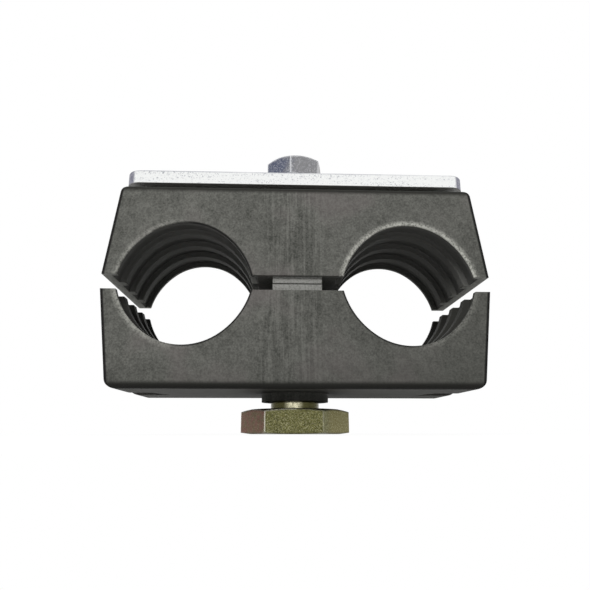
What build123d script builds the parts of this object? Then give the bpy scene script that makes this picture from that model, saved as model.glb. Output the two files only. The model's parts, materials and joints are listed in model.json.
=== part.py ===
from build123d import *
import os
from math import cos, radians, sin, sqrt, tan

# Twin tube clamp for a C-shaped mounting rail, in millimetres.
# Origin: centre of the rail nut's flat bottom. X: along the clamp. Y: along the tubes. Z: up the bolt.

# The two tubes
tube_diameter = 25.0
tube_spacing = 45.0

# The clamp halves, two identical mouldings
body_depth = 30.0          # along the tubes
half_height = 19.3         # split face to outer face
outer_wall = 3.0           # beside a seat's mouth, at each end of the split face
split_gap = 3.0            # between the two split faces
end_taper = 7.5            # degrees, each end leans in towards the outer face
outer_corner_radius = 2.0  # between an end and the outer face
edge_radius = 1.2          # long edges of the outer face, front and back
seat_half_angle = 36.0     # degrees, the stretch each side of the crown that is round to the tube
flank_relief = 3.0         # how much larger than the tube the arcs beside the crown are
rib_spaces = 4             # grooves along a seat
rib_width = 2.4
groove_depth = 1.2
rim_radius = 0.2           # round each mouth of a seat
pad_width = 9.9            # stop pads beside the bolt, which meet when no tube is in
pad_setback = 0.8          # from the front and back faces
pad_gap = 0.2              # between the two pads
boss_diameter = 14.3       # round seat for the cover plate, or for the rail
boss_height = 1.75
boss_root_radius = 0.4
notch_width = 6.5          # shallow ramped notch at each end of an outer face
notch_length = 9.0
notch_depth = 1.0

# The bolt, thread size 8, fully threaded
bolt_diameter = 8.0
thread_engagement = 4.25   # how far the bolt reaches into the nut
head_across_flats = 12.0
head_height = 5.3
head_chamfer = 30.0        # degrees
head_turn = 20.0           # degrees, how far a corner stands from the X axis
hexagon_face_share = 0.95  # flat circle on a hexagon's end, as a share of its width across flats
bearing_height = 0.3
bolt_tip_chamfer = 1.0
hole_clearance = 0.3       # radial, bolt in the halves
plate_clearance = 0.5      # radial, bolt in the cover plate
thread_clearance = 0.05    # radial, bolt in the nut

# The cover plate under the bolt's head
plate_overhang = 0.3       # beyond each end of the half under it
plate_setback = 2.5        # from the front and back faces
plate_thickness = 3.0
plate_corner_radius = 3.0
plate_edge_radius = 0.4

# The split spring washer under the bolt's head
washer_section_width = 3.0
washer_thickness = 2.0
washer_rise = 0.6          # one end stands this much above the other
washer_opening = 14.0      # degrees of the slit
washer_clearance = 0.15    # radial, bolt in the washer
head_seat_gap = 0.05       # washer's high end to the head

# The hexagon rail nut
nut_across_flats = 20.0
nut_height = 5.0
nut_top_chamfer = 13.0     # degrees
nut_bottom_chamfer = 8.0   # degrees
nut_turn = -3.0            # degrees, its front flat from square
collar_diameter = 10.3     # runs in the rail's slot
collar_height = 1.6        # between the nut and the lower half
thread_mouth_chamfer = 0.6

# Worked out from the sizes above
tube_radius = tube_diameter / 2
bolt_radius = bolt_diameter / 2
boss_bottom_z = nut_height + collar_height
lower_split_z = boss_bottom_z + boss_height + half_height
upper_split_z = lower_split_z + split_gap
plate_bottom_z = upper_split_z + half_height + boss_height
plate_top_z = plate_bottom_z + plate_thickness
head_seat_z = plate_top_z + washer_thickness + washer_rise + head_seat_gap
bolt_length = head_seat_z - boss_bottom_z + thread_engagement
flank_radius = tube_radius + flank_relief
flank_x = flank_relief * sin(radians(seat_half_angle))   # how far the centres of the relieved arcs lie
flank_z = flank_relief * cos(radians(seat_half_angle))   # from the tube's axis, sideways and down
mouth_half_width = sqrt(flank_radius ** 2 - (split_gap / 2 + flank_z) ** 2) - flank_x
split_length = tube_spacing + 2 * (mouth_half_width + outer_wall)
outer_length = split_length - 2 * half_height * tan(radians(end_taper))
plate_length = outer_length + 2 * plate_overhang
plate_width = body_depth - 2 * plate_setback
rib_pitch = body_depth / rib_spaces
groove_width = rib_pitch - rib_width
touching = 0.01            # places nearer than this are the same
standing = (Align.CENTER, Align.CENTER, Align.MIN)


def seat_outline(grow):
    """Section of a tube seat on XZ, grown outwards by a distance. The tube axis is at the origin and the
    outline runs on below it, so that it cuts clean through the split face."""
    crown = tube_radius + grow
    flank = flank_radius + grow
    crown_x = crown * sin(radians(seat_half_angle))
    crown_z = crown * cos(radians(seat_half_angle))
    side_x = flank - flank_x
    middle = radians(90 - seat_half_angle) / 2
    middle_x = flank * cos(middle) - flank_x
    middle_z = flank * sin(middle) - flank_z
    cut_z = -(split_gap + groove_depth)
    outline = (
        ThreePointArc((-crown_x, crown_z), (0, crown), (crown_x, crown_z))
        + ThreePointArc((crown_x, crown_z), (middle_x, middle_z), (side_x, -flank_z))
        + Polyline((side_x, -flank_z), (side_x, cut_z), (-side_x, cut_z), (-side_x, -flank_z))
        + ThreePointArc((-side_x, -flank_z), (-middle_x, middle_z), (-crown_x, crown_z))
    )
    return make_face(outline)


def along_tube(section, y, length):
    """A section drawn on XZ, made solid along Y about the place y."""
    start = Plane(origin=(0, y - length / 2, 0), x_dir=(1, 0, 0), z_dir=(0, -1, 0))
    return extrude(start * section, -length)


def tube_seat():
    """What is cut away for one tube: the seat between its ribs' crests, and the grooves."""
    cut = along_tube(seat_outline(0), 0, body_depth + 2 * edge_radius)
    for number in range(rib_spaces):
        y = (number - (rib_spaces - 1) / 2) * rib_pitch
        cut += along_tube(seat_outline(groove_depth), y, groove_width)
    return cut


def clamp_half():
    """One half, its split face at z = 0 and its outer face up. The tube axes lie below the split face."""
    split_x = split_length / 2
    outer_x = outer_length / 2
    corners = [(-split_x, 0), (split_x, 0), (outer_x, half_height), (-outer_x, half_height)]
    outline = make_face(Polyline(*corners, close=True))
    outline = fillet(outline.vertices().group_by(Axis.Y)[-1], outer_corner_radius)
    side_view = Plane.YZ * Pos(0, half_height / 2) * Rectangle(body_depth, half_height)
    side_view = fillet(side_view.vertices().group_by(Axis.Z)[-1], edge_radius)
    body = along_tube(outline, 0, body_depth) & extrude(side_view, split_length, both=True)

    body += Pos(0, 0, half_height) * Cylinder(boss_diameter / 2, boss_height, align=standing)
    root = body.edges().filter_by(GeomType.CIRCLE).filter_by_position(
        Axis.Z, half_height - touching, half_height + touching)
    root = root.filter_by(lambda edge: abs(edge.radius - boss_diameter / 2) < touching)
    body = fillet(root, boss_root_radius)
    for side in (-1, 1):
        body -= end_notch(side, outer_x)

    for side in (-1, 1):
        body -= Pos(side * tube_spacing / 2, 0, -split_gap / 2) * tube_seat()
    mouths = [edge for edge in body.edges().filter_by(GeomType.CIRCLE)
              if edge.radius > tube_radius - touching and edge.bounding_box().size.Y < touching
              and abs(abs(edge.center().Y) - body_depth / 2) < touching]
    body = fillet(mouths, rim_radius)

    pad_height = (split_gap - pad_gap) / 2
    pad_depth = body_depth - 2 * pad_setback
    body += Pos(0, 0, -pad_height) * Box(pad_width, pad_depth, pad_height, align=standing)
    hole_length = pad_height + half_height + boss_height
    body -= Pos(0, 0, -pad_height) * Cylinder(bolt_radius + hole_clearance, hole_length, align=standing)
    return body


def end_notch(side, outer_x):
    """The ramp that runs out of the outer face at one end."""
    ramp = make_face(Polyline((outer_x - notch_length, half_height), (outer_x + edge_radius, half_height),
                              (outer_x + edge_radius, half_height - notch_depth), close=True))
    cut = along_tube(ramp, 0, notch_width)
    return cut if side > 0 else mirror(cut, about=Plane.YZ)


def chamfered_hexagon(across_flats, height, top_angle, bottom_angle=0):
    """A hexagon whose corners are turned back by a cone, on its top and, for a nut, on its bottom too."""
    flat_radius = across_flats / 2
    corner_radius = flat_radius / cos(radians(30))
    face_radius = hexagon_face_share * flat_radius
    beyond = corner_radius + 1
    top_z = height - (beyond - face_radius) * tan(radians(top_angle))
    bottom_z = (beyond - face_radius) * tan(radians(bottom_angle))
    turned = Polyline((0, 0), (face_radius, 0), (beyond, bottom_z), (beyond, top_z), (face_radius, height),
                      (0, height), close=True)
    blank = revolve(make_face(Plane.XZ * turned), Axis.Z)
    prism = extrude(RegularPolygon(flat_radius, 6, major_radius=False), height)
    return prism & blank


def clamp_bolt():
    hexagon = chamfered_hexagon(head_across_flats, head_height - bearing_height, head_chamfer)
    head = Pos(0, 0, head_seat_z + bearing_height) * Rot(0, 0, head_turn) * hexagon
    bearing_radius = hexagon_face_share * head_across_flats / 2
    bearing = Pos(0, 0, head_seat_z) * Cylinder(bearing_radius, bearing_height, align=standing)
    shank = Pos(0, 0, head_seat_z - bolt_length) * Cylinder(bolt_radius, bolt_length, align=standing)
    shank = chamfer(shank.edges().group_by(Axis.Z)[0], bolt_tip_chamfer)
    return shank + bearing + head


def spring_washer():
    """A split ring of flat section, whose ends stand apart because the bolt isn't fully tight."""
    middle = bolt_radius + washer_clearance + washer_section_width / 2
    turn = (360 - washer_opening) / 360
    path = Helix(pitch=washer_rise / turn, height=washer_rise, radius=middle)
    across = Plane(origin=path @ 0, x_dir=(1, 0, 0), z_dir=path % 0)
    section = across * Rectangle(washer_section_width, washer_thickness)
    ring = sweep(section, path=path, is_frenet=True)
    return Pos(0, 0, plate_top_z + washer_thickness / 2) * ring


def cover_plate():
    outline = RectangleRounded(plate_length, plate_width, plate_corner_radius)
    plate = extrude(outline, plate_thickness)
    plate = fillet(plate.edges().group_by(Axis.Z)[-1], plate_edge_radius)
    plate -= Cylinder(bolt_radius + plate_clearance, 3 * plate_thickness)
    return Pos(0, 0, plate_bottom_z) * plate


def rail_nut():
    hexagon = chamfered_hexagon(nut_across_flats, nut_height, nut_top_chamfer, nut_bottom_chamfer)
    collar = Pos(0, 0, nut_height) * Cylinder(collar_diameter / 2, collar_height, align=standing)
    nut = Rot(0, 0, nut_turn) * hexagon + collar
    nut -= Cylinder(bolt_radius + thread_clearance, boss_bottom_z, align=standing)
    mouth = nut.edges().filter_by(GeomType.CIRCLE).group_by(Axis.Z)[0]
    mouth = mouth.filter_by(lambda edge: abs(edge.radius - bolt_radius - thread_clearance) < touching)
    return chamfer(mouth, thread_mouth_chamfer)


half = clamp_half()
pieces = {
    "rail_nut": rail_nut(),
    "lower_half": Pos(0, 0, lower_split_z) * Rot(180, 0, 0) * half,
    "upper_half": Pos(0, 0, upper_split_z) * half,
    "cover_plate": cover_plate(),
    "spring_washer": spring_washer(),
    "clamp_bolt": clamp_bolt(),
}

os.makedirs("parts", exist_ok=True)
for name, piece in pieces.items():
    export_step(piece, f"parts/{name}.step")
    state = "valid" if piece.is_valid else "INVALID"
    print(name, len(piece.solids()), "solid", round(piece.volume, 1), "mm3", state)
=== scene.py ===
import json
from math import cos, pi, radians, sin, tan

import bmesh
import bpy
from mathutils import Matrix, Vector

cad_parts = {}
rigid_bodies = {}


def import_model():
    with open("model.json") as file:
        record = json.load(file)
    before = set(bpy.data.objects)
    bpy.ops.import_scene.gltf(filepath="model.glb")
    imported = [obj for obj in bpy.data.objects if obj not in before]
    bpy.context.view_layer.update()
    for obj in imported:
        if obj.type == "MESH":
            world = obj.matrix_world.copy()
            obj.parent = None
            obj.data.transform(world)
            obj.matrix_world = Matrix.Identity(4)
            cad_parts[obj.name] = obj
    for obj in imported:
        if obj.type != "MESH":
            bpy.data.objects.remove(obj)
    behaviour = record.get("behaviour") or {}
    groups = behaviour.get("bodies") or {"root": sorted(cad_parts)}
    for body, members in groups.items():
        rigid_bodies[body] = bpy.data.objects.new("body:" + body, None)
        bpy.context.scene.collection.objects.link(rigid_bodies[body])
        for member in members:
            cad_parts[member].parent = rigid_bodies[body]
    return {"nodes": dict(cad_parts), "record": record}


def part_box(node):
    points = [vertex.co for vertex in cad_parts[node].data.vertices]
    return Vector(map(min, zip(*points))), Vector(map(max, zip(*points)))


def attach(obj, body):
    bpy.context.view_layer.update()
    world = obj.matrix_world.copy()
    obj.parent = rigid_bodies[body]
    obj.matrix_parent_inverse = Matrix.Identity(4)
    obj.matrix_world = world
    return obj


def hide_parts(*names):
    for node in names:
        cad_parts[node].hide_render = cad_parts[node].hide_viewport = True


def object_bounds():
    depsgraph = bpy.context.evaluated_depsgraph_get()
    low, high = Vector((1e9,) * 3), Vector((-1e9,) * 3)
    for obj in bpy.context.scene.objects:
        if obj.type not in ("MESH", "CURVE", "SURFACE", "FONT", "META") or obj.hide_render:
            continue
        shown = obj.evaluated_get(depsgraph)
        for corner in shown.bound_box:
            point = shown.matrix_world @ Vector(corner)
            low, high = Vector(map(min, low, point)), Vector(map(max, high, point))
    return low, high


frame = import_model()
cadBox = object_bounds()
mm = 0.001
nodes = frame["nodes"]
record = frame["record"]
scene = bpy.context.scene
print("frame loaded:", ", ".join(sorted(nodes)))


class Signal:  # one socket of a node tree, so that sums can be written as sums
    def __init__(self, tree, socket):
        self.tree = tree
        self.socket = socket

    def maths(self, operation, first, second=None):
        inputs = {0: first} if second is None else {0: first, 1: second}
        return self.tree.make("ShaderNodeMath", {"operation": operation}, inputs)[0]

    def __add__(self, other):
        return self.maths("ADD", self, other)

    def __sub__(self, other):
        return self.maths("SUBTRACT", self, other)

    def __rsub__(self, other):
        return self.maths("SUBTRACT", other, self)

    def __mul__(self, other):
        return self.maths("MULTIPLY", self, other)

    def __lt__(self, other):
        return self.maths("LESS_THAN", self, other)

    def __gt__(self, other):
        return self.maths("GREATER_THAN", self, other)

    def __abs__(self):
        return self.maths("ABSOLUTE", self)

    __radd__ = __add__
    __rmul__ = __mul__

    def root(self):
        return self.maths("SQRT", self)

    def least(self, other):
        return self.maths("MINIMUM", self, other)

    def most(self, other):
        return self.maths("MAXIMUM", self, other)

    def ease(self, low, high, newLow=0.0, newHigh=1.0):  # a smooth change of range that stops at its ends
        return self.tree.make("ShaderNodeMapRange", {"interpolation_type": "SMOOTHSTEP"}, {
            "Value": self, "From Min": low, "From Max": high, "To Min": newLow, "To Max": newHigh})["Result"]


class Tree:  # a node tree being built
    def __init__(self, nodeTree):
        self.nodeTree = nodeTree

    def make(self, kind, settings=None, inputs=None):
        node = self.nodeTree.nodes.new(kind)
        for name, value in (settings or {}).items():
            setattr(node, name, value)
        self.wire(node, inputs or {})
        return Made(self, node)

    def wire(self, node, inputs):
        for name, value in inputs.items():
            if isinstance(value, Signal):
                self.nodeTree.links.new(value.socket, node.inputs[name])
            else:
                node.inputs[name].default_value = value

    def noise(self, place, perMm, detail, roughness, distortion=0.0):  # mostly between 0.3 and 0.7
        return self.make("ShaderNodeTexNoise", None, {
            "Vector": place, "Scale": perMm, "Detail": detail, "Roughness": roughness,
            "Distortion": distortion})[0]

    def stretched(self, place, scale, turn=(0, 0, 0), shift=(0, 0, 0)):
        return self.make("ShaderNodeMapping", None, {
            "Vector": place, "Scale": scale, "Rotation": turn, "Location": shift})["Vector"]

    def axes(self, place):  # across the tubes, along them, and up
        parts = self.make("ShaderNodeSeparateXYZ", None, {0: place})
        return parts[0], parts[1], parts[2]

    def blend(self, amount, low, high):  # from one colour to another, through the colour sockets 6, 7 and 2
        return self.make("ShaderNodeMix", {"data_type": "RGBA"}, {0: amount, 6: low, 7: high})[2]


class Made:  # a node just made, whose outputs are asked for by name or number
    def __init__(self, tree, node):
        self.tree = tree
        self.node = node

    def __getitem__(self, name):
        return Signal(self.tree, self.node.outputs[name])


def startMaterial(name):
    material = bpy.data.materials.new(name)
    material.use_nodes = True
    tree = Tree(material.node_tree)
    surface = material.node_tree.nodes["Principled BSDF"]
    metres = tree.make("ShaderNodeTexCoord")["Object"]
    place = tree.make("ShaderNodeVectorMath", {"operation": "SCALE"}, {0: metres, "Scale": 1 / mm})[0]
    return material, tree, surface, place   # place is in millimetres


def roundedNormal(tree, look):  # the normal with its edges rounded over
    return tree.make("ShaderNodeBevel", {"samples": 6}, {"Radius": look["edgeRadius"] * mm})[0]


def edgeHighlightMask(tree, rounded):  # how far the rounded normal leaves the flat one, for the painted edge highlights
    flat = tree.make("ShaderNodeNewGeometry")["Normal"]
    likeness = tree.make("ShaderNodeVectorMath", {"operation": "DOT_PRODUCT"}, {0: rounded, 1: flat})["Value"]
    return (1 - likeness).ease(0.004, 0.09)


def bumped(tree, look, height, normal):
    return tree.make("ShaderNodeBump", None, {
        "Strength": look["bumpStrength"], "Distance": look["bumpDepth"] * mm, "Height": height,
        "Normal": normal})[0]


# in every finish a noise is written as its scale per mm, detail, roughness and distortion
halfLook = {
    "dark": (0.042, 0.043, 0.038, 1),
    "pale": (0.146, 0.146, 0.133, 1),
    "warm": (0.115, 0.098, 0.098, 1),     # faint clouds
    # painted light: the upper seats' ribs and grooves are lighter than the plastic, the grooves most, to lift
    # their shade
    "rib": (0.105, 0.105, 0.097, 1),
    "groove": (0.118, 0.118, 0.111, 1),
    "lowSeat": (0.034, 0.034, 0.031, 1),
    # painted light on the stop pads, which are set back in shade
    "pad": (0.260, 0.260, 0.245, 1),
    "glossy": (0.018, 0.018, 0.016, 1),   # painted shade on the rounded long edges
    # painted shade: the dark line along the end edges and round the seats' rims
    "edge": (0.006, 0.006, 0.006, 1),
    # painted light on the split faces outside the seats
    "splitFace": (0.30, 0.30, 0.28, 1),
    # painted highlight round the seats' rims
    "rubbed": (0.43, 0.43, 0.39, 1),
    "grain": (2.9, 4, 0.68),
    "mottle": (0.55, 3, 0.6),
    "cloud": (0.07, 2, 0.5),
    "flow": (0.9, 3, 0.65, 0.5),          # marks that run up and down beside the bolt hole
    "flowStretch": (1.5, 0.6, 0.07),
    "flowMiddle": -1.0,                   # mm
    "flowFade": (3.0, 9.0),               # mm from their middle
    "scratch": (1.1, 2, 0.5),
    "scratchStretch": (0.30, 1.0, 4.5),
    "scratchTurn": 52,                    # degrees
    "shares": {"grain": 0.62, "mottle": 0.22, "cloud": 0.18, "flow": 0.38, "scratch": 0.32},
    "warmShare": 0.38,
    "rubbedWidth": 1.4,                   # mm, the painted highlight round each tube seat
    "rubbedFromLeft": (20, 31),           # mm from the middle, where the highlight on the rim begins and where it is full
    "rubbedFromRight": (21, 28),
    "rubbedRightTop": 1.0,
    "rubbedLeftTop": 0.40,
    "rubbedLeftLow": 0.55,
    "rubbedRightLow": 0.30,
    "rimLine": (0.22, 0.46),              # mm, a dark line of painted shade on a seat's edge where it has no painted highlight
    "grooveReach": 1.3,                   # mm outside the tube, past the bottom of a groove
    "grooveFrom": 0.6,                    # mm outside the tube, where a rib ends and a groove begins
    "bandHeight": 1.7,                    # mm, the band of painted shade along the outer long edges
    "bandStart": (13.6, 14.0),            # mm from the middle, along the tubes
    "endLine": 0.58,                      # mm, the dark line of painted shade along the end edges
    "padReach": 7.0,                      # mm from the middle, past the stop pad's ends
    "splitFaceFrom": 28,                  # mm from the middle, outside the seats
    "lowShade": 0.28,                     # the lower half darkens to the right
    "lowShadeSpan": (-8, 38),
    "lowShadeBreak": 6,                   # mm, how much the grain breaks that up
    "outerShade": 0.18,                   # and towards its outer face
    "outerShadeSpan": (1.0, 8.0),
    "underShade": 0.25,                   # and on that face
    "roughness": 0.62,
    "specular": 0.08,
    "edgeRadius": 0.3,
    "bumpStrength": 0.28,
    "bumpDepth": 0.07,
    "flankRelief": 3.0,                   # mm, how much larger in radius than the tube a seat's flanks are
    "crownAngle": 36.0,                   # degrees each side of the crown where a seat is round to the tube
    "bossHeight": 1.75,
    "endTaper": 7.5,                      # degrees
    "splitGap": 3.0,
    "seatDepth": 14.75,                   # mm, half the length of a seat between its rims
}


def seatDistance(across, up):  # how far outside the nearer seat a place is, and whether it is over its tube
    seat = next(mount for mount in record["mounts"] if mount["name"] == "tube_seat_right")
    tubeX, tubeZ, tubeRadius = seat["pos_m"][0] / mm, seat["pos_m"][2] / mm, seat["dims"]["r_mm"]
    relief, crown = halfLook["flankRelief"], radians(halfLook["crownAngle"])
    sideways = abs(abs(across) - tubeX)
    upward = abs(up - tubeZ)
    toCrown = (sideways * sideways + upward * upward).root() - tubeRadius
    flankX, flankZ = sideways + relief * sin(crown), upward + relief * cos(crown)
    toFlank = (flankX * flankX + flankZ * flankZ).root() - (tubeRadius + relief)
    onCrown = sideways < upward * tan(crown)
    return toFlank + onCrown * (toCrown - toFlank), up > tubeZ


def edgeDistances(across, up):  # from a half's outer face, from its tapered ends and from its split face
    lowest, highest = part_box("lower_half")[0][2] / mm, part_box("upper_half")[1][2] / mm
    boss, taper = halfLook["bossHeight"], tan(radians(halfLook["endTaper"]))
    fromOuter = (up - (lowest + boss)).least((highest - boss) - up)
    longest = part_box("lower_half")[1][0] / mm
    middle = (lowest + highest) / 2
    fromSplit = abs(up - middle) - halfLook["splitGap"] / 2
    return fromOuter, longest - fromSplit * taper - abs(across), fromSplit


def mouldedMarks(tree, place):  # the noises that the plastic's colour and bump are made of
    look = halfLook
    flowPlace = tree.stretched(place, look["flowStretch"])
    scratchPlace = tree.stretched(place, look["scratchStretch"], (0, radians(look["scratchTurn"]), 0))
    return {
        "grain": tree.noise(place, *look["grain"]),
        "mottle": tree.noise(place, *look["mottle"]),
        "cloud": tree.noise(place, *look["cloud"]),
        "flow": tree.noise(flowPlace, *look["flow"]),
        "scratch": tree.noise(scratchPlace, *look["scratch"]).ease(0.68, 0.76),
    }


def plasticColour(tree, marks, across):
    look, shares = halfLook, halfLook["shares"]
    nearMiddle = 1 - abs(across - look["flowMiddle"]).ease(*look["flowFade"])
    tone = (marks["grain"].ease(0.28, 0.72) * shares["grain"]
            + marks["mottle"].ease(0.3, 0.7) * shares["mottle"]
            + marks["cloud"].ease(0.35, 0.65) * shares["cloud"]
            + nearMiddle * (marks["flow"].ease(0.40, 0.64) - 0.45) * shares["flow"]
            + marks["scratch"] * shares["scratch"])
    colour = tree.blend(tone, look["dark"], look["pale"])
    return tree.blend(marks["cloud"].ease(0.50, 0.68) * look["warmShare"], colour, look["warm"])


def seatColour(tree, marks, colour, across, outside, isTop, onFace):  # the tube seats, with painted light in the upper seats, a painted highlight on their rims and painted shade where it has none
    look = halfLook
    leftward = (across * -1).ease(*look["rubbedFromLeft"])
    rightward = across.ease(*look["rubbedFromRight"])
    strength = (isTop * (leftward * look["rubbedLeftTop"] + (across > 0) * look["rubbedRightTop"])
                + (1 - isTop) * (leftward * look["rubbedLeftLow"] + rightward * look["rubbedRightLow"]))
    # painted highlight round the seats' rims, strongest on the right upper seat
    rubbed = (1 - outside.ease(0.1, look["rubbedWidth"])) * onFace * strength
    rubbed = rubbed * marks["grain"].ease(0.32, 0.60, 0.15, 1) * marks["mottle"].ease(0.25, 0.6, 0.55, 1)
    # painted shade on a seat's rim where it has no painted highlight
    rimLine = onFace * (1 - outside.ease(*look["rimLine"])) * (1 - strength * 1.6).most(0)
    colour = tree.blend(rimLine * 0.9, colour, look["edge"])
    colour = tree.blend(rubbed, colour, look["rubbed"])
    # painted light in the upper seats, the grooves lighter than the ribs; the lower seats stay dark
    inSeat = (outside < look["grooveReach"]) * (1 - onFace)
    seatLight = tree.blend(outside > look["grooveFrom"], look["rib"], look["groove"])
    return tree.blend(inSeat, colour, tree.blend(isTop, look["lowSeat"], seatLight))


def paintedShadeAndLight(tree, marks, colour, across, along, up, isTop, onFace):  # painted shade on the lower half, painted light on the pads and split faces, and painted shade along the edges
    look = halfLook
    grain, flow = marks["grain"], marks["flow"]
    fromOuter, fromEnd, fromSplit = edgeDistances(across, up)
    shaded = (across + grain * look["lowShadeBreak"]).ease(*look["lowShadeSpan"]) * look["lowShade"]
    shaded = shaded + (1 - fromOuter.ease(*look["outerShadeSpan"])) * look["outerShade"]
    shaded = shaded + (fromOuter < 0.05) * look["underShade"]
    colour = tree.blend((1 - isTop) * shaded, colour, look["dark"])
    # painted light on the stop pads
    onPad = (fromSplit < -0.02) * (abs(across) < look["padReach"])
    colour = tree.blend(onPad * grain.ease(0.3, 0.6, 0.3, 0.8), colour, look["pad"])
    # painted light on the split faces outside the seats
    onSplit = (abs(fromSplit) < 0.03) * (abs(across) > look["splitFaceFrom"])
    colour = tree.blend(onSplit * flow.ease(0.3, 0.6, 0.5, 1), colour, look["splitFace"])
    # painted shade along the rounded long edges
    nearLongEdge = abs(along).ease(*look["bandStart"])
    band = (1 - fromOuter.ease(look["bandHeight"] - 1.0, look["bandHeight"])) * nearLongEdge
    colour = tree.blend(band * 0.98, colour, look["glossy"])
    # painted shade along the end edges
    endLine = (1 - fromEnd.ease(look["endLine"] - 0.2, look["endLine"] + 0.1)) * onFace
    return tree.blend(endLine * 0.92, colour, look["edge"])


def mouldedBlack():
    look = halfLook
    material, tree, surface, place = startMaterial("mouldedBlack")
    across, along, up = tree.axes(place)
    marks = mouldedMarks(tree, place)
    outside, isTop = seatDistance(across, up)
    onFace = abs(along) > look["seatDepth"]
    colour = plasticColour(tree, marks, across)
    colour = seatColour(tree, marks, colour, across, outside, isTop, onFace)
    colour = paintedShadeAndLight(tree, marks, colour, across, along, up, isTop, onFace)
    height = marks["grain"] * 0.6 + marks["mottle"] * 0.3 + marks["flow"] * 0.2 - marks["scratch"] * 0.3
    roughness = marks["grain"].ease(0.2, 0.8, look["roughness"] - 0.05, look["roughness"] + 0.10)
    normal = bumped(tree, look, height, roundedNormal(tree, look))
    tree.wire(surface, {
        "Base Color": colour, "Roughness": roughness, "Specular IOR Level": look["specular"],
        "Normal": normal})
    return material


plateLook = {
    "bright": (0.93, 0.94, 0.93, 1),
    "dull": (0.42, 0.43, 0.47, 1),
    "sheared": (0.19, 0.19, 0.245, 1),    # painted shade, bluish, on the rounded ends
    # painted light: a dull pale grey on the shaded underside
    "underside": (0.22, 0.22, 0.21, 1),
    "spangle": (1.7, 4, 0.72),
    "speck": (2.9, 3, 0.65),
    "rolled": (1.0, 3, 0.6),
    "rolledStretch": (0.10, 1.8, 1.5),
    "shearedStart": 1.8,                  # mm from each end
    "topLine": (0.45, 0.20),              # mm below the top, where a dull line begins and where it is full
    "undersideMetallic": 0.2,
    "roughness": 0.36,
    "edgeRadius": 0.2,
    "bumpStrength": 0.22,
    "bumpDepth": 0.05,
}


def brightZinc():
    look = plateLook
    material, tree, surface, place = startMaterial("brightZinc")
    low, high = [[part / mm for part in corner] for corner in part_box("cover_plate")]
    across, along, up = tree.axes(place)
    spangle = tree.noise(place, *look["spangle"])
    speck = tree.noise(place, *look["speck"])
    rolled = tree.noise(tree.stretched(place, look["rolledStretch"]), *look["rolled"])
    dull = spangle.ease(0.50, 0.72) * 0.45 + speck.ease(0.54, 0.66) * 0.75
    dull = dull * rolled.ease(0.35, 0.62, 0.2, 1.2)
    colour = tree.blend(dull, look["bright"], look["dull"])
    # painted shade, bluish, on the plate's rounded ends
    cornerStart = high[0] - look["shearedStart"]
    sheared = abs(across).ease(cornerStart - 0.3, cornerStart + 0.4)
    colour = tree.blend(sheared * spangle.ease(0.3, 0.6, 0.75, 1), colour, look["sheared"])
    lineStart, lineFull = look["topLine"]
    topLine = up.ease(high[2] - lineStart, high[2] - lineFull) * (abs(along) > high[1] - lineStart)
    colour = tree.blend(topLine * rolled.ease(0.35, 0.6, 0.35, 0.9), colour, look["dull"])
    # painted light: the underside is a dull, less metallic pale grey, so its shaded gap is not black
    below = up < low[2] + 0.06
    colour = tree.blend(below, colour, look["underside"])
    height = spangle * 0.4 + rolled * 0.4 + speck * 0.3
    tree.wire(surface, {
        "Base Color": colour, "Roughness": look["roughness"] + dull * 0.15,
        "Metallic": 1 - below * (1 - look["undersideMetallic"]),
        "Normal": bumped(tree, look, height, roundedNormal(tree, look))})
    return material


boltLook = {
    "blue": (0.100, 0.112, 0.165, 1),
    "grey": (0.235, 0.235, 0.245, 1),
    # pale specks, and the painted highlight along the edges
    "worn": (0.90, 0.91, 0.93, 1),
    "patch": (0.5, 3, 0.6),
    "grain": (3.4, 3, 0.7),
    "blueSpan": (0.0, 3.4),               # mm left of the axis, from grey to blue
    "blueBreak": 9,                       # mm, how much the patches break that up
    "roughness": 0.38,
    "edgeRadius": 0.75,
    "bumpStrength": 0.3,
    "bumpDepth": 0.06,
    "pitch": 1.25,
    "rootRadius": 3.25,
    "crestRadius": 3.95,
    "endRoot": 2.95,                      # the end inside the nut clears the nut's thread at any turn
    "endCrest": 3.54,
    "endTurns": 4,
    "rootWidth": 1.09,
    "crestWidth": 0.16,
    "sunk": 0.03,                         # mm of a ridge inside the core
    "tipChamfer": 0.55,
    "tipHeight": 0.6,
    "threadFromTip": 0.75,
    "threadRunOut": 0.55,                 # mm left free under the neck
    "plainBelowHead": 2.6,
    "coreIntoHead": 0.4,
    "stepsPerTurn": 36,
    "coreSteps": 64,
}


def blueZinc():
    look = boltLook
    material, tree, surface, place = startMaterial("blueZinc")
    across = tree.axes(place)[0]
    patch = tree.noise(place, *look["patch"])
    grain = tree.noise(place, *look["grain"])
    toBlue = (across * -1 + (patch - 0.5) * look["blueBreak"]).ease(*look["blueSpan"])
    colour = tree.blend(toBlue, look["grey"], look["blue"])
    colour = tree.blend(grain.ease(0.48, 0.70) * 0.42, colour, look["worn"])
    rounded = roundedNormal(tree, look)
    # painted highlight along the head's edges
    worn = edgeHighlightMask(tree, rounded) * grain.ease(0.25, 0.5, 0.55, 0.95)
    colour = tree.blend(worn, colour, look["worn"])
    tree.wire(surface, {
        "Base Color": colour, "Roughness": look["roughness"] + (grain - 0.5) * 0.2, "Metallic": 1.0,
        "Normal": bumped(tree, look, grain, rounded)})
    return material


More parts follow.
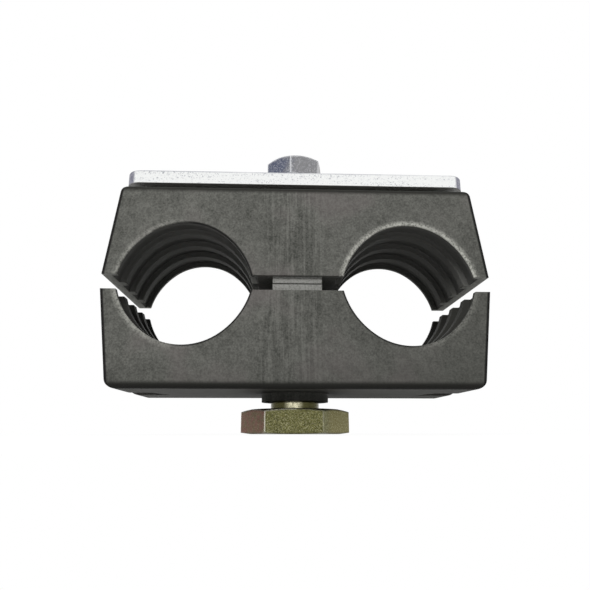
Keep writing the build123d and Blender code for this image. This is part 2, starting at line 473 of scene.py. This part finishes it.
nutLook = {
    "olive": (0.165, 0.160, 0.062, 1),
    "shade": (0.050, 0.050, 0.018, 1),
    "brown": (0.128, 0.040, 0.024, 1),
    "brownShade": (0.088, 0.055, 0.016, 1),
    "gold": (0.64, 0.61, 0.38, 1),
    "yellow": (0.150, 0.128, 0.030, 1),
    # painted highlight along the edges
    "worn": (0.93, 0.91, 0.80, 1),
    "collar": (0.085, 0.080, 0.034, 1),
    "rubbed": (0.88, 0.84, 0.60, 1),      # a painted highlight on the front of the collar
    "patch": (0.25, 3, 0.6),
    "blotch": (0.9, 4, 0.75),
    "grain": (3.0, 3, 0.75),
    "speck": (5.0, 2, 0.6),
    "speckShift": (7, 3, 1),
    "brownFrom": 6.2,                     # mm left of the bolt's axis
    "brownBreak": 1.5,                    # mm, how much the patches break that up
    "yellowSpan": (5.4, 7.4),             # mm right of the axis
    "collarHeight": 1.55,
    "bareMiddle": -0.4,
    "bareSpan": (0.5, 2.2),               # mm from the painted highlight's middle
    "roughness": 0.42,
    "edgeRadius": 0.50,
    "bumpStrength": 0.5,
    "bumpDepth": 0.08,
    "rootWidth": 0.95,
    "crestWidth": 0.12,
    "threadFoot": 4.12,                   # mm, inside the wall of the hole
    "threadRadius": 3.60,
    "threadBelow": 0.9,                   # mm left free at the bottom, and at the top
    "threadAbove": 0.6,
}


def yellowZinc():
    look = nutLook
    material, tree, surface, place = startMaterial("yellowZinc")
    across, along, up = tree.axes(place)
    patch = tree.noise(place, *look["patch"])
    blotch = tree.noise(place, *look["blotch"])
    grain = tree.noise(place, *look["grain"])
    speck = tree.noise(tree.stretched(place, (1, 1, 1), shift=look["speckShift"]), *look["speck"])
    colour = tree.blend(grain.ease(0.32, 0.62), look["shade"], look["olive"])
    leftward = across * -1 + (patch - 0.5) * look["brownBreak"]
    toBrown = leftward.ease(look["brownFrom"] - 0.4, look["brownFrom"] + 0.4)
    brown = tree.blend(blotch.ease(0.40, 0.58), look["brownShade"], look["brown"])
    colour = tree.blend(toBrown, colour, brown)
    colour = tree.blend(across.ease(*look["yellowSpan"]) * 0.8, colour, look["yellow"])
    colour = tree.blend(speck.ease(0.50, 0.66) * (0.40 - toBrown * 0.24), colour, look["gold"])
    low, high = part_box("rail_nut")
    upward = up - low[2] / mm
    onCollar = upward > (high[2] - low[2]) / mm - look["collarHeight"]
    # painted highlight on the front of the collar
    collarHighlight = (1 - abs(across - look["bareMiddle"]).ease(*look["bareSpan"])) * (along < 0)
    collarHighlight = collarHighlight * grain.ease(0.30, 0.62, 0.15, 1)
    colour = tree.blend(onCollar, colour, tree.blend(collarHighlight, look["collar"], look["rubbed"]))
    colour = tree.blend((1 - upward.ease(0.15, 0.45)) * 0.7, colour, look["shade"])
    rounded = roundedNormal(tree, look)
    # painted highlight along the nut's edges, strongest on its left side
    worn = edgeHighlightMask(tree, rounded) * (1 - onCollar) * upward.ease(0.3, 0.6) * ((across < 0) * 0.75 + 0.25)
    colour = tree.blend(worn * grain.ease(0.25, 0.5, 0.7, 1), colour, look["worn"])
    roughness = look["roughness"] + (grain - 0.5) * 0.25 - onCollar * 0.2
    tree.wire(surface, {
        "Base Color": colour, "Roughness": roughness, "Metallic": 1.0,
        "Normal": bumped(tree, look, grain, rounded)})
    return material


materials = {
    "moulded_black": mouldedBlack(),
    "bright_zinc": brightZinc(),
    "blue_zinc": blueZinc(),
    "yellow_zinc": yellowZinc(),
}
slotOf = {part["node"]: part["material_slot"] for part in record["subparts"]}
for name, node in nodes.items():
    node.data.materials.clear()
    node.data.materials.append(materials[slotOf[name]])
print("finishes:", ", ".join(material.name for material in materials.values()))


def threadTree():  # a helical ridge of four-sided section, right-handed
    group = bpy.data.node_groups.new("screwThread", "GeometryNodeTree")
    sizes = {"Turns": 10.0, "Pitch": 1.0, "Base Radius": 4.0, "Ridge Height": 0.5, "Base Width": 1.0,
             "Crest Width": 0.2, "Start Height": 0.0}
    for name, value in sizes.items():
        socket = group.interface.new_socket(name=name, in_out="INPUT", socket_type="NodeSocketFloat")
        socket.default_value = value
    group.interface.new_socket(name="Steps", in_out="INPUT", socket_type="NodeSocketInt").default_value = 36
    group.interface.new_socket(name="Finish", in_out="INPUT", socket_type="NodeSocketMaterial")
    group.interface.new_socket(name="Geometry", in_out="OUTPUT", socket_type="NodeSocketGeometry")
    tree = Tree(group)
    given = tree.make("NodeGroupInput")
    helix = tree.make("GeometryNodeCurveSpiral", None, {
        "Resolution": given["Steps"], "Rotations": given["Turns"], "Start Radius": given["Base Radius"],
        "End Radius": given["Base Radius"], "Height": given["Turns"] * given["Pitch"], "Reverse": True})
    upright = tree.make("GeometryNodeSetCurveNormal", {"mode": "Z_UP"}, {"Curve": helix["Curve"]})

    def corner(outward, width):
        return tree.make("ShaderNodeCombineXYZ", None, {"X": outward, "Y": width})["Vector"]

    section = tree.make("GeometryNodeCurvePrimitiveQuadrilateral", {"mode": "POINTS"}, {
        "Point 1": corner(0.0, given["Base Width"] * -0.5),
        "Point 2": corner(given["Ridge Height"], given["Crest Width"] * -0.5),
        "Point 3": corner(given["Ridge Height"], given["Crest Width"] * 0.5),
        "Point 4": corner(0.0, given["Base Width"] * 0.5)})
    ridge = tree.make("GeometryNodeCurveToMesh", None, {
        "Curve": upright["Curve"], "Profile Curve": section["Curve"], "Fill Caps": True})
    lift = tree.make("ShaderNodeCombineXYZ", None, {"Z": given["Start Height"]})["Vector"]
    lifted = tree.make("GeometryNodeTransform", None, {"Geometry": ridge["Mesh"], "Translation": lift})
    real = tree.make("GeometryNodeRealizeInstances", None, {"Geometry": lifted["Geometry"]})
    finished = tree.make("GeometryNodeSetMaterial", None, {
        "Geometry": real["Geometry"], "Material": given["Finish"]})
    tree.make("NodeGroupOutput", None, {"Geometry": finished["Geometry"]})
    return group


def grownMesh(group, values):  # what a Geometry Nodes tree makes, as a plain mesh
    holder = bpy.data.objects.new("grower", bpy.data.meshes.new("grower"))
    scene.collection.objects.link(holder)
    modifier = holder.modifiers.new("grow", "NODES")
    modifier.node_group = group
    socketOf = {item.name: item.identifier for item in group.interface.items_tree if item.in_out == "INPUT"}
    for name, value in values.items():
        modifier[socketOf[name]] = value
    bpy.context.view_layer.update()
    made = bpy.data.meshes.new_from_object(holder.evaluated_get(bpy.context.evaluated_depsgraph_get()))
    bpy.data.objects.remove(holder)
    return made


def addRidge(bm, group, look, turns, foot, height, start, finish):  # foot, height and start in millimetres
    bm.from_mesh(grownMesh(group, {
        "Turns": float(turns), "Pitch": boltLook["pitch"] * mm, "Base Radius": foot * mm,
        "Ridge Height": height * mm, "Base Width": look["rootWidth"] * mm,
        "Crest Width": look["crestWidth"] * mm, "Start Height": start * mm,
        "Steps": boltLook["stepsPerTurn"], "Finish": finish}))


def finishPiece(name, bm, finish):
    bmesh.ops.recalc_face_normals(bm, faces=bm.faces)
    mesh = bpy.data.meshes.new(name)
    bm.to_mesh(mesh)
    bm.free()
    mesh.materials.clear()
    mesh.materials.append(finish)
    piece = bpy.data.objects.new(name, mesh)
    scene.collection.objects.link(piece)
    return piece


def keepHead(bm, cutHeight):  # the head keeps its solid's shape, cut off just above its underside and closed
    bm.from_mesh(nodes["clamp_bolt"].data)
    bmesh.ops.remove_doubles(bm, verts=bm.verts, dist=0.001 * mm)
    everything = bm.verts[:] + bm.edges[:] + bm.faces[:]
    cut = bmesh.ops.bisect_plane(bm, geom=everything, plane_co=(0, 0, cutHeight * mm), plane_no=(0, 0, 1),
                                 clear_inner=True)
    rim = [item for item in cut["geom_cut"] if isinstance(item, bmesh.types.BMEdge)]
    bmesh.ops.holes_fill(bm, edges=rim)


def settleOrder(bm):  # spin hands over its edges and faces in another order each run
    def pointNumbers(part):
        return sorted(vert.index for vert in part.verts)

    bm.verts.index_update()
    for parts in (bm.edges, bm.faces):
        for number, part in enumerate(sorted(parts, key=pointNumbers)):
            part.index = number
        parts.sort()


def turnCore(bm, profile):  # spins a profile of radius and height round the bolt's axis
    turned = [bm.verts.new((radius * mm, 0, height * mm)) for radius, height in profile]
    edges = [bm.edges.new(pair) for pair in zip(turned, turned[1:])]
    bmesh.ops.spin(bm, geom=turned + edges, cent=(0, 0, 0), axis=(0, 0, 1), angle=2 * pi,
                   steps=boltLook["coreSteps"], use_merge=True)
    bmesh.ops.remove_doubles(bm, verts=bm.verts, dist=0.0005 * mm)
    settleOrder(bm)


def threadedBolt(group):
    look = boltLook
    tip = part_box("clamp_bolt")[0][2] / mm
    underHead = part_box("spring_washer")[1][2] / mm + 0.02
    neck = underHead - look["plainBelowHead"]
    start = tip + look["threadFromTip"]
    endTop = start + look["endTurns"] * look["pitch"]
    bm = bmesh.new()
    keepHead(bm, underHead + 0.06)
    turnCore(bm, [
        (0, tip),
        (look["endRoot"] - look["tipChamfer"], tip),
        (look["endRoot"], tip + look["tipHeight"]),
        (look["endRoot"], endTop - 0.62),       # the core widens between the two threads
        (look["rootRadius"], endTop - 0.32),
        (look["rootRadius"], neck - 0.3),
        (look["crestRadius"], neck),            # the plain neck under the head
        (look["crestRadius"], underHead + look["coreIntoHead"]),
        (0, underHead + look["coreIntoHead"])])
    longTurns = (neck - look["threadRunOut"] - endTop) / look["pitch"]
    for turns, root, crest, foot in ((look["endTurns"], look["endRoot"], look["endCrest"], start),
                                     (longTurns, look["rootRadius"], look["crestRadius"], endTop)):
        addRidge(bm, group, look, turns, root - look["sunk"], crest - root + look["sunk"], foot,
                 materials["blue_zinc"])
    bolt = finishPiece("threadedBolt", bm, materials["blue_zinc"])
    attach(bolt, "bolt")
    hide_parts("clamp_bolt")
    return start


def nutThread(group, boltStart):  # half a pitch out of step with the bolt's thread
    look = nutLook
    low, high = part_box("rail_nut")
    pitch = boltLook["pitch"]
    start = boltStart + pitch / 2
    while start - pitch > low[2] / mm + look["threadBelow"]:
        start -= pitch
    turns = int((high[2] / mm - start - look["threadAbove"]) / pitch)
    bm = bmesh.new()
    addRidge(bm, group, look, turns, look["threadFoot"], look["threadRadius"] - look["threadFoot"], start,
             materials["yellow_zinc"])
    thread = finishPiece("nutThread", bm, materials["yellow_zinc"])
    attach(thread, "nut")


screwThread = threadTree()
nutThread(screwThread, threadedBolt(screwThread))
threads = [piece.name for piece in scene.objects if piece.name.endswith(("Bolt", "Thread"))]
print("threads cut:", ", ".join(threads))


studio = {
    "floorDrop": 0.05 * mm,
    "floorSize": 6.0,
    "floorShade": 0.50,                   # how pale the floor is to light that bounces off it
    "floorGlow": 0.94,
    "glowFade": (110, 420),               # mm from the middle, where the floor turns plain white
    "lamps": {
        "keyLamp": {"place": (-0.12, -0.30, 0.24), "size": 0.16, "power": 1.5},
        "backLamp": {"place": (0.30, 0.60, 0.55), "size": 0.40, "power": 4.0},
    },
    "surround": 0.26,                     # the room's light on the object
}


def seenDirectly(tree):  # 1 for rays from the camera and for those through gloss and glass
    ray = tree.make("ShaderNodeLightPath")
    return (ray["Is Camera Ray"] + ray["Is Glossy Ray"] + ray["Is Transmission Ray"]).least(1)


def palePanel(tree, surface, output, glow, shade):
    # white to the camera and in gloss, but for the shadow; a plain grey to bounced light
    direct = seenDirectly(tree)
    lamp = tree.make("ShaderNodeEmission", None, {"Color": (1, 1, 1, 1), "Strength": 1.0})[0]
    colour = tree.blend(direct, (shade, shade, shade, 1), (1, 1, 1, 1))
    tree.wire(surface, {"Base Color": colour, "Roughness": 1.0, "Specular IOR Level": 0.0})
    plain = Signal(tree, surface.outputs[0])
    mixed = tree.make("ShaderNodeMixShader", None, {0: direct * glow, 1: plain, 2: lamp})
    tree.wire(output, {0: mixed[0]})


def makeFloor():
    bm = bmesh.new()
    bmesh.ops.create_grid(bm, x_segments=1, y_segments=1, size=studio["floorSize"] / 2)
    bmesh.ops.translate(bm, verts=bm.verts, vec=(0, 0, -studio["floorDrop"]))
    material, tree, surface, place = startMaterial("paleFloor")
    distance = tree.make("ShaderNodeVectorMath", {"operation": "LENGTH"}, {0: place})["Value"]
    glow = distance.ease(*studio["glowFade"]) * (1 - studio["floorGlow"]) + studio["floorGlow"]
    palePanel(tree, surface, material.node_tree.nodes["Material Output"], glow, studio["floorShade"])
    finishPiece("paleFloor", bm, material)


def makeRoom():
    world = bpy.data.worlds.new("whiteRoom")
    scene.world = world
    world.use_nodes = True
    tree = Tree(world.node_tree)
    strength = seenDirectly(tree) * (1 - studio["surround"]) + studio["surround"]
    tree.wire(world.node_tree.nodes["Background"], {"Color": (1, 1, 1, 1), "Strength": strength})


def softLamp(name, place, size, power, target):
    lamp = bpy.data.lights.new(name, "AREA")
    lamp.shape = "DISK"
    lamp.size = size
    lamp.energy = power
    item = bpy.data.objects.new(name, lamp)
    item.location = place
    item.rotation_mode = "QUATERNION"
    item.rotation_quaternion = (Vector(target) - Vector(place)).to_track_quat("-Z", "Y")
    item.visible_glossy = False   # metal shows the pale room, not the lamps
    scene.collection.objects.link(item)


clampView = {
    "place": (-4.16 * mm, -115.05 * mm, 0.35 * mm),
    "pitch": 14.71,   # degrees upwards
    "yaw": 2.09,      # degrees to the right
    "lens": 31.93,
    "sensor": 36,
}


def makeCamera():
    camera = bpy.data.cameras.new("clampCamera")
    camera.lens = clampView["lens"]
    camera.sensor_width = clampView["sensor"]
    camera.clip_start = 0.01
    camera.clip_end = 20
    item = bpy.data.objects.new("clampCamera", camera)
    pitch, yaw = radians(clampView["pitch"]), radians(clampView["yaw"])
    ahead = Vector((sin(yaw) * cos(pitch), cos(yaw) * cos(pitch), sin(pitch)))
    item.location = clampView["place"]
    item.rotation_mode = "QUATERNION"
    item.rotation_quaternion = ahead.to_track_quat("-Z", "Y")
    scene.collection.objects.link(item)
    scene.camera = item


makeFloor()
makeRoom()
middle = (cadBox[0] + cadBox[1]) / 2
for name, lamp in studio["lamps"].items():
    softLamp(name, lamp["place"], lamp["size"], lamp["power"], middle)
makeCamera()
scene.view_settings.view_transform = "Standard"
print("studio ready")
